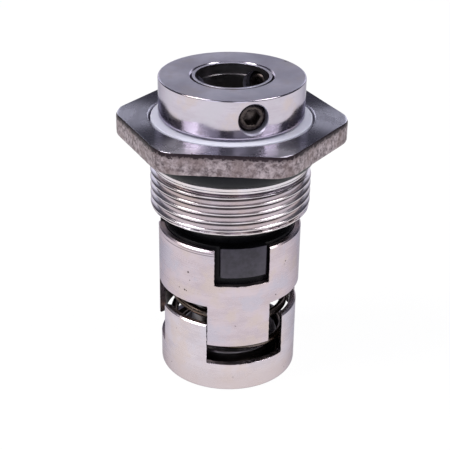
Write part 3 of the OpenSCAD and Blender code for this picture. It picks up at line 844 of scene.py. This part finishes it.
carrierMesh = grow("sealCarrier", threadTree, {
    **inMetres({
        "crestRadius": carrier["threadRadius"], "depth": carrier["threadDepth"], "pitch": carrier["pitch"],
        "lowEnd": carrier["bottom"], "highEnd": carrier["threadTop"],
        "endRingRadius": carrier["endRingRadius"], "endRingHeight": carrier["endRingHeight"],
    }),
    "lowSlope": 12.0, "highSlope": 3.0, "flankBulge": carrier["flankBulge"],
    "crestShift": carrier["crestRow"] / carrier["rowsPerPitch"],
    "crestShare": carrier["crestRows"] / carrier["rowsPerPitch"],
    "rootShare": carrier["rootRows"] / carrier["rowsPerPitch"],
    "columns": carrier["columns"], "rowsPerPitch": carrier["rowsPerPitch"], "Finish": threadSteel,
}, makeCarrier(carrier))
addPiece("sealCarrier", smoothed(carrierMesh, 68), "gland", "seal_carrier")
print("carrier ready", len(carrierMesh.polygons))


# O-rings and spring

def makeCordTree():
    tree, bench, given = geometryTree(
        "rubberRing", ["ringRadius", "cordWidth", "height"], ["ringSteps", "cordSteps"])
    loop = bench.add("GeometryNodeCurvePrimitiveCircle", {
        "Resolution": given["ringSteps"], "Radius": given["ringRadius"],
    }).outputs["Curve"]
    cord = bench.add("GeometryNodeCurvePrimitiveCircle", {
        "Resolution": given["cordSteps"], "Radius": bench.math("MULTIPLY", given["cordWidth"], 0.5),
    }).outputs["Curve"]
    tube = bench.add("GeometryNodeCurveToMesh", {"Curve": loop, "Profile Curve": cord}).outputs[0]
    lift = bench.add("ShaderNodeCombineXYZ", {2: given["height"]}).outputs[0]
    tube = bench.add("GeometryNodeSetPosition", {"Geometry": tube, "Offset": lift}).outputs[0]
    closeTree(bench, tube, given)
    return tree


cordTree = makeCordTree()
rubberRings = {  # name: centre radius, cord width, height of the centre, body and node
    "carrierORing": (13.1, 3.8, 42.4, "gland", "carrier_o_ring"),
    "seatORing": (10.0, 2.0, 35.8, "gland", "seat_o_ring"),
    "ringORing": (7.85, 2.1, 21.45, "follower", "ring_o_ring"),
    "shaftORing": (7.025, 2.0, 3.8, "rotor", "shaft_o_ring"),
}
for name, (radius, width, height, body, node) in rubberRings.items():
    mesh = grow(name, cordTree, {
        **inMetres({"ringRadius": radius, "cordWidth": width, "height": height}),
        "ringSteps": 144, "cordSteps": 32, "Finish": blackRubber,
    })
    addPiece(name, mesh, body, node)
print("O-rings ready")

spring = {
    "coilRadius": 9.95, "wireWidth": 1.4, "lowCentre": 2.2, "pitch": 5.5, "freeTurns": 2.9364, "flatTurns": 1.0,
    "startAngle": 40.9, "stepsPerTurn": 96, "wireSides": 20, "foot": 1.5, "top": 19.05, "travel": 3.5,
}


def makeSpringTree():
    tree, bench, given = geometryTree("coilWire", [
        "coilRadius", "wireWidth", "lowCentre", "pitch", "freeTurns", "flatTurns", "startAngle",
    ], ["stepsPerTurn", "wireSides"])
    m = bench.math
    turns = m("ADD", given["freeTurns"], m("MULTIPLY", given["flatTurns"], 2.0))
    count = m("ROUND", m("MULTIPLY", turns, given["stepsPerTurn"]))
    line = bench.add("GeometryNodeMeshLine", {"Count": m("ADD", count, 1.0), "Offset": (0, 0, mm)}).outputs[0]
    lap = m("MULTIPLY", m("DIVIDE", bench.add("GeometryNodeInputIndex").outputs[0], count), turns)
    risen = m("MINIMUM", m("MAXIMUM", m("SUBTRACT", lap, given["flatTurns"]), 0.0), given["freeTurns"])
    height = m("ADD", given["lowCentre"], m("MULTIPLY", risen, given["pitch"]))
    angle = m("SUBTRACT", given["startAngle"], m("MULTIPLY", m("SUBTRACT", lap, given["flatTurns"]), turn))
    spot = bench.polarPoint(given["coilRadius"], angle, height)
    line = bench.add("GeometryNodeSetPosition", {"Geometry": line, "Position": spot}).outputs[0]
    path = bench.add("GeometryNodeMeshToCurve", {"Mesh": line}).outputs[0]
    wire = bench.add("GeometryNodeCurvePrimitiveCircle", {
        "Resolution": given["wireSides"], "Radius": m("MULTIPLY", given["wireWidth"], 0.5),
    }).outputs["Curve"]
    tube = bench.add("GeometryNodeCurveToMesh", {"Curve": path, "Profile Curve": wire, "Fill Caps": True}).outputs[0]
    closeTree(bench, tube, given)
    return tree


springMesh = grow("pressureSpring", makeSpringTree(), {
    **inMetres({key: spring[key] for key in ("coilRadius", "wireWidth", "lowCentre", "pitch")}),
    **{key: spring[key] for key in ("freeTurns", "flatTurns", "stepsPerTurn", "wireSides")},
    "startAngle": front + math.radians(spring["startAngle"]), "Finish": shadedWireSteel,
})
pressureSpring = addPiece("pressureSpring", smoothed(springMesh, 50), "rotor", "pressure_spring")
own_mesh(pressureSpring)
print("spring ready")


# Turned rings, seat, washer, sleeve and collar

def finishAbove(mesh, height, leastUp):  # faces above a height that look up take the second finish
    for face in mesh.polygons:
        if face.normal.z > leastUp and face.center.z > height * mm:
            face.material_index = 1
    return mesh


seat = {
    "bore": 7.05, "radius": 11.0, "neckRadius": 8.95, "low": 30.15, "shoulder": 34.75, "top": 38.35,
    "neckRounding": 0.1, "rounding": 0.22,
}


def makeSeat(s):
    corners = [
        (s["bore"], s["low"]), (s["radius"], s["low"]), (s["radius"], s["shoulder"]),
        (s["neckRadius"], s["shoulder"], s["neckRounding"]), (s["neckRadius"], s["top"]), (s["bore"], s["top"]),
    ]
    return latheDraft(corners, s["rounding"]).mesh("stationarySeat", [darkCarbide])


addPiece("stationarySeat", makeSeat(seat), "gland", "stationary_seat")

washer = {"bore": 7.05, "radius": 13.8, "low": 46.05, "high": 48.15, "rounding": 0.18}


def makeWasher(s):
    corners = [(s["bore"], s["low"]), (s["radius"], s["low"]), (s["radius"], s["high"]), (s["bore"], s["high"])]
    return latheDraft(corners, s["rounding"]).mesh("spacerWasher", [whitePlastic])


addPiece("spacerWasher", makeWasher(washer), "gland", "spacer_washer")

ring = {
    "bore": 7.05, "grooveRadius": 8.95, "groove": 2.4, "low": 20.25, "radius": 11.5, "shoulder": 28.75,
    "noseRadius": 10.05, "face": 30.15, "innerRounding": 0.1, "rounding": 0.2,
    "lugRadius": 12.35, "lugLow": 23.05, "lugWidth": 8.1, "lugTurn": 15.7, "lugRounding": 0.16, "lugFold": 0.05,
    "lugSink": 0.8, "lugSteps": 20,
}


def makeLug(s, index):
    draft = MeshDraft()
    edge, fold, steps = s["lugRounding"], s["lugFold"], s["lugSteps"]
    low, high = s["lugLow"], s["shoulder"]
    levels = [(low, edge), (low + fold, fold), (low + edge, 0), (high - edge, 0), (high - fold, fold), (high, edge)]
    rows = []
    for z, inset in levels:
        r, h = s["lugRadius"] - inset, s["lugWidth"] / 2 - inset
        side = [(s["radius"] - s["lugSink"], -h), (math.sqrt(r * r - h * h) - 0.35, -h)]
        side.append((math.sqrt(r * r - (h - fold) ** 2) - 0.12, -h + 0.03))
        limit = math.asin((h - edge) / r)
        arc = [(r * math.cos(a), r * math.sin(a)) for a in [limit * (2 * i / steps - 1) for i in range(steps + 1)]]
        line = side + arc + [(x, -y) for x, y in side[::-1]]
        rows.append(draft.row([(x, y, z) for x, y in line]))
    draft.closedStack(rows)
    draft.place(Matrix.Rotation(front + math.radians(s["lugTurn"]) + index * third, 4, "Z"))
    return looseObject("lug" + str(index), draft.mesh("lug" + str(index), [darkCarbide]))


def makeSealRing(s):
    tight, innerTop = s["innerRounding"], s["low"] + s["groove"]
    corners = [
        (s["grooveRadius"], s["low"], tight), (s["radius"], s["low"]), (s["radius"], s["shoulder"]),
        (s["noseRadius"], s["shoulder"], tight), (s["noseRadius"], s["face"]), (s["bore"], s["face"]),
        (s["bore"], innerTop, tight), (s["grooveRadius"], innerTop, tight),
    ]
    finishes = [darkCarbide, groundCarbide]
    body = looseObject("sealRingBody", latheDraft(corners, s["rounding"]).mesh("sealRingBody", finishes))
    mesh = combine(body, [makeLug(s, k) for k in range(3)], "UNION", "rotatingRing")
    for face in mesh.polygons:
        if math.hypot(face.center.x, face.center.y) > (s["lugRadius"] - 0.06) * mm:
            face.material_index = 1  # the lugs' outer faces are ground
    return mesh


addPiece("rotatingRing", makeSealRing(ring), "follower", "rotating_ring")

sleeve = {
    "bore": 6.0, "radius": 6.75, "low": 0.3, "top": 55.28, "floor": 1.5, "bossRadius": 8.95, "bossTop": 6.1,
    "bossChamfer": 0.3, "grooveRadius": 8.05, "grooveLow": 2.65, "grooveHigh": 4.95, "counterbore": 6.25,
    "counterDepth": 1.93, "holeRadius": 2.55, "innerRounding": 0.1, "stepRounding": 0.04, "rounding": 0.12,
}
collar = {
    "bore": 6.8, "radius": 12.5, "stepRadius": 11.2, "foot": 48.15, "low": 48.53, "top": 55.28, "chamfer": 0.3,
    "boreChamfer": 0.42, "innerRounding": 0.08, "rounding": 0.12,
}
screws = {
    "turn": 20.2, "height": 51.905, "radius": 2.45, "outEnd": 11.5, "inEnd": 6.5, "socket": 2.5, "socketDepth": 2.4,
    "pitch": 0.8, "threadDepth": 0.4, "holeRadius": 2.5, "sink": 0.15, "crownHeight": 0.35, "pointHeight": 0.4,
    "steps": 48, "rowsPerPitch": 8,
}
screwAngles = [front + math.radians(screws["turn"]) + k * third for k in range(3)]


def radialDrills(path, around, finishes):  # one for each screw, whose cut faces take the second finish
    drills = []
    for k, angle in enumerate(screwAngles):
        draft = discDraft(path, around)
        draft.place(radialPlace(angle, screws["height"]))
        draft.finishes = [1] * len(draft.faces)
        drills.append(looseObject("drill" + str(k), draft.mesh("drill" + str(k), finishes)))
    return drills


def makeSleeve(s):
    c, tight, step = s["bossChamfer"], s["innerRounding"], s["top"] - s["counterDepth"]
    corners = [
        (s["bore"], s["low"]), (s["radius"], s["low"]), (s["radius"], s["floor"], 0), (s["bossRadius"] - c, s["floor"], 0),
        (s["bossRadius"], s["floor"] + c), (s["bossRadius"], s["bossTop"] - c), (s["bossRadius"] - c, s["bossTop"]),
        (s["radius"], s["bossTop"]), (s["radius"], s["top"]), (s["counterbore"], s["top"]),
        (s["counterbore"], step, s["stepRounding"]), (s["bore"], step, tight), (s["bore"], s["grooveHigh"], tight),
        (s["grooveRadius"], s["grooveHigh"]), (s["grooveRadius"], s["grooveLow"]), (s["bore"], s["grooveLow"], tight),
    ]
    finishes = [sleeveSteel, mottledSteel]
    body = looseObject("shaftSleeve", latheDraft(corners, s["rounding"]).mesh("shaftSleeve", finishes))
    drills = radialDrills([(s["holeRadius"], 4), (s["holeRadius"], 9)], 64, finishes)
    mesh = combine(body, drills, "DIFFERENCE", "shaftSleeve")
    return finishAbove(mesh, s["top"] - s["rounding"] - 0.02, 0.3)


def makeCollar(s):
    tight = s["innerRounding"]
    corners = [
        (s["bore"], s["foot"]), (s["stepRadius"], s["foot"]), (s["stepRadius"], s["low"], tight),
        (s["radius"], s["low"], s["chamfer"]), (s["radius"], s["top"], s["chamfer"]),
        (s["bore"] + s["boreChamfer"], s["top"], tight), (s["bore"], s["top"] - s["boreChamfer"], tight),
    ]
    finishes = [collarSteel, mottledSteel]
    body = looseObject("clampCollar", latheDraft(corners, s["rounding"], 240, 4).mesh("clampCollar", finishes))
    r, out, sink = screws["holeRadius"], s["radius"], screws["sink"]
    path = [(r, 4), (r, out - 2.6 * sink), (r + 2 * sink, out + 0.4 * sink), (r + 2 * sink, out + 2)]
    mesh = combine(body, radialDrills(path, 72, finishes), "DIFFERENCE", "clampCollar")
    return finishAbove(mesh, s["top"] - 0.1, 0.9)


addPiece("shaftSleeve", makeSleeve(sleeve), "rotor", "shaft_sleeve")
addPiece("clampCollar", makeCollar(collar), "rotor", "clamp_collar")


def hexagonReach(width, angle):
    sixth = turn / 6
    return width / 2 / math.cos((angle + sixth / 2) % sixth - sixth / 2)


def makeScrew(s, index):
    # made round Z with the socket upwards, then laid along its radius
    draft = MeshDraft()
    angles = evenAngles(s["steps"])
    root, foot, head = s["radius"] - s["threadDepth"], s["inEnd"], s["outEnd"]
    crown = [(root, s["crownHeight"]), (root - 0.05, 0.12), (root - 0.16, 0.02), (root - 0.3, 0)]
    rows = [draft.ring(r, head - down, angles) for r, down in crown]
    for widening, down in ((0.16, 0), (0.08, 0.03), (0, 0.12), (0, s["socketDepth"])):
        rows.append(draft.row([polar(hexagonReach(s["socket"], a) + widening, a, head - down) for a in angles]))
    for r, down in ((0.9, 0.02), (0.1, 0.35)):
        rows.append(draft.ring(r, head - s["socketDepth"] - down, angles))
    draft.stack(rows)
    draft.face(rows[-1])
    point = [(0.05, 0.55), (root * 0.55, 0.05), (root * 0.6, 0.0), (root * 0.72, 0.0), (root - 0.1, 0.25)]
    rows = [draft.ring(r, foot + up, angles) for r, up in point + [(root, s["pointHeight"])]]
    draft.stack(rows)
    draft.face(rows[0][::-1])
    mesh = grow("setScrew" + str(index), threadTree, {
        **inMetres({
            "crestRadius": s["radius"], "depth": s["threadDepth"], "pitch": s["pitch"],
            "lowEnd": foot + s["pointHeight"], "highEnd": head - s["crownHeight"],
        }),
        "lowSlope": 2.0, "highSlope": 2.0, "crestShift": 0.0, "crestShare": 1 / 16, "rootShare": 3 / 8,
        "flankBulge": 1.0, "columns": s["steps"], "rowsPerPitch": s["rowsPerPitch"], "Finish": screwSteel,
    }, draft.mesh("screwStart" + str(index), [screwSteel]))
    mesh.transform(radialPlace(screwAngles[index - 1], s["height"] * mm))
    return smoothed(mesh, 35)


for index in (1, 2, 3):
    number = str(index)
    addPiece("setScrew" + number, makeScrew(screws, index), "screw_" + number, "set_screw_" + number)
print("turned pieces ready")


# Floor, light and camera

studio = {
    "floorSize": 3.0, "floorHeight": -0.0001, "floorWhite": 0.94, "floorShare": 0.10, "floorGrey": 0.8,
    "skyHigh": (0.62, 0.62, 0.72), "skySide": (0.085, 0.085, 0.11), "skyLow": (1.75, 1.79, 2.02),
    "ground": (0.95, 0.93, 0.96), "ambient": 0.75, "horizon": 0.05, "overhead": (0.88, 0.99),
    "wallShift": 0.055, "wallStart": (0.13, 0.23), "wallEnd": (0.45, 0.65), "wallTop": (0.42, 0.52), "aim": 0.035,
}


def makeFloor(s):
    h, z = s["floorSize"] / 2, s["floorHeight"]
    mesh = bpy.data.meshes.new("studioFloor")
    mesh.from_pydata([(-h, -h, z), (h, -h, z), (h, h, z), (-h, h, z)], [], [(0, 1, 2, 3)])
    material = bpy.data.materials.new("studioFloor")
    material.use_nodes = True
    bench = NodeBench(material.node_tree)
    nodes = material.node_tree.nodes
    nodes.remove(nodes["Principled BSDF"])
    path = bench.add("ShaderNodeLightPath").outputs
    glossy = bench.math("MAXIMUM", path["Is Glossy Ray"], path["Is Transmission Ray"])
    seen = bench.math("MAXIMUM", path["Is Camera Ray"], glossy)
    soft = bench.add("ShaderNodeBsdfDiffuse", {"Color": (s["floorGrey"],) * 3}).outputs[0]
    faint = bench.add("ShaderNodeBsdfDiffuse", {"Color": (s["floorShare"],) * 3}).outputs[0]
    glow = bench.add("ShaderNodeEmission", {"Color": (1, 1, 1), "Strength": s["floorWhite"]}).outputs[0]
    white = bench.add("ShaderNodeAddShader", {0: glow, 1: faint}).outputs[0]
    both = bench.add("ShaderNodeMixShader", {0: seen, 1: soft, 2: white}).outputs[0]
    fromBelow = bench.add("ShaderNodeNewGeometry").outputs["Backfacing"]
    clear = bench.add("ShaderNodeBsdfTransparent").outputs[0]
    both = bench.add("ShaderNodeMixShader", {0: fromBelow, 1: both, 2: clear}).outputs[0]
    bench.feed(nodes["Material Output"], "Surface", both)
    mesh.materials.append(material)
    floor = looseObject("studioFloor", mesh)


def makeWorld(s):
    # dark at the sides, with a bright low wall to the left and right and a mild light overhead
    world = bpy.data.worlds.new("studioWorld")
    bpy.context.scene.world = world
    world.use_nodes = True
    bench = NodeBench(world.node_tree)
    m, ramp = bench.math, bench.ramp
    x, _, z = bench.parts(bench.add("ShaderNodeTexCoord").outputs["Generated"])
    aside = m("ABSOLUTE", m("ADD", x, s["wallShift"]))  # the camera stands a little to the right
    wall = m("MULTIPLY", ramp(aside, *s["wallStart"]), ramp(aside, *s["wallEnd"], 1.0, 0.0))
    wall = m("MULTIPLY", wall, ramp(z, *s["wallTop"], 1.0, 0.0))
    sky = bench.mix(ramp(z, *s["overhead"]), bench.mix(wall, s["skySide"], s["skyLow"]), s["skyHigh"])
    sky = bench.mix(ramp(z, -s["horizon"], s["horizon"]), s["ground"], sky)
    isCamera = bench.add("ShaderNodeLightPath").outputs["Is Camera Ray"]
    background = world.node_tree.nodes["Background"]
    bench.feed(background, "Color", bench.mix(isCamera, sky, (1.0, 1.0, 1.0)))
    bench.feed(background, "Strength", ramp(isCamera, 0.0, 1.0, s["ambient"], 1.0))


def softBox(name, azimuth, watts, tint, width, height=0.36, elevation=50, distance=0.7):
    light = bpy.data.lights.new(name, "AREA")
    light.shape = "RECTANGLE"
    light.size = width
    light.size_y = height
    light.energy = watts
    light.color = tint
    lamp = looseObject(name, light)
    a, e = front + math.radians(azimuth), math.radians(elevation)
    out = Vector((math.cos(a) * math.cos(e), math.sin(a) * math.cos(e), math.sin(e)))
    lamp.location = Vector((0, 0, studio["aim"])) + out * distance
    lamp.rotation_euler = out.to_track_quat("Z", "Y").to_euler()


makeFloor(studio)
makeWorld(studio)
softBox("leftBox", -69, 2.85, (1.0, 0.97, 0.98), 0.30)
softBox("rightBox", 75, 2.0, (1.0, 0.98, 1.0), 0.31)

view = {"lens": 90.43, "place": (0.0110, -0.1800, 0.1181), "turn": 0.0657, "down": 0.4674, "roll": 0.0141}
cameraData = bpy.data.cameras.new("camera")
cameraData.lens = view["lens"]
cameraData.sensor_width = 36.0
cameraData.clip_start = 0.01
camera = looseObject("camera", cameraData)
tilt = Matrix.Rotation(math.pi / 2 - view["down"], 4, "X") @ Matrix.Rotation(view["roll"], 4, "Z")
camera.matrix_world = Matrix.Translation(view["place"]) @ Matrix.Rotation(view["turn"], 4, "Z") @ tilt
bpy.context.scene.camera = camera
bpy.context.scene.view_settings.view_transform = "Standard"
print("studio ready")
